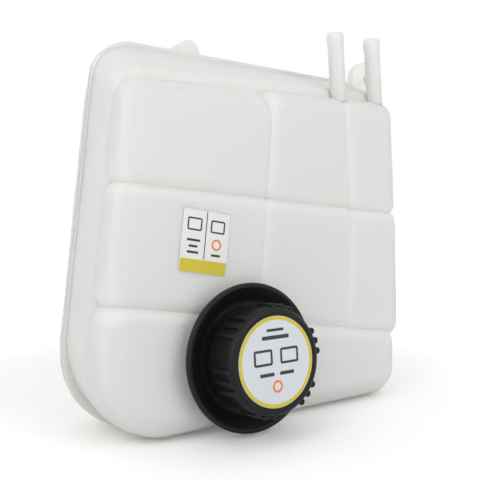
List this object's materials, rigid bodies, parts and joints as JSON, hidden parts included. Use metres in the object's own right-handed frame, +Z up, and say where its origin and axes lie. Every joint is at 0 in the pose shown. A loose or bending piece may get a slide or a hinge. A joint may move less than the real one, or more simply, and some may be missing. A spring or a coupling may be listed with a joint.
{
  "type": "coolant expansion tank",
  "caption": "Milky moulded coolant expansion tank with pillow-shaped cells, internal baffles, beaded hose spigots, mounting lugs and a ribbed black screw cap with pressure and vacuum valves.",
  "frame": {"origin": "on the floor under the weld seam, in the plane of the cap axis; the tank stands as pictured", "axes": "+X along the width away from the cap, +Y from the cap side to the rear, +Z up"},
  "size_m": [0.2742, 0.1358, 0.2577],
  "materials": {
    "tank_plastic": "milky, satin",
    "black_plastic": "satin",
    "label_film": "printed film",
    "cap_print": "printed film",
    "valve_plastic": "satin",
    "seal_rubber": "matte",
    "spring_steel": "drawn wire"
  },
  "bodies": {
    "tank": {"front_shell": "tank_plastic", "rear_shell": "tank_plastic", "filler_neck": "tank_plastic", "near_spigot": "tank_plastic", "far_spigot": "tank_plastic", "splash_collar": "black_plastic", "face_label": "label_film"},
    "insert": {"valve_insert": "valve_plastic", "insert_ring": "seal_rubber", "neck_gasket": "seal_rubber", "spring_retainer": "valve_plastic", "pressure_spring": "spring_steel"},
    "cap": {"cap_knob": "black_plastic", "cap_label": "cap_print"},
    "plunger": {"pressure_plunger": "valve_plastic", "plunger_gasket": "seal_rubber", "vacuum_spring": "spring_steel"},
    "mushroom": {"vacuum_valve": "valve_plastic"}
  },
  "joints": [
    {"name": "cap_lift", "type": "slide", "parent": "tank", "child": "insert", "axis": [0, -0.9957, 0.0924], "range_m": [0, 0.008]},
    {"name": "cap_turn", "type": "hinge", "parent": "insert", "child": "cap", "pos_m": [0, -0.04094, 0.0458], "axis": [0, -0.9957, 0.0924], "range_deg": [0, 720]},
    {"name": "pressure_lift", "type": "slide", "parent": "insert", "child": "plunger", "axis": [0, -0.9957, 0.0924], "range_m": [0, 0.0025], "stiffness_N_per_m": 1000, "springref_m": -0.008, "deforming": ["pressure_spring"]},
    {"name": "vacuum_drop", "type": "slide", "parent": "plunger", "child": "mushroom", "axis": [0, 0.9957, -0.0924], "range_m": [0, 0.0015], "stiffness_N_per_m": 100, "springref_m": -0.004, "deforming": ["vacuum_spring"]}
  ],
  "couplings": [
    {"joint": "cap_lift", "follows": "cap_turn", "m_per_rad": 0.00063662}
  ]
}
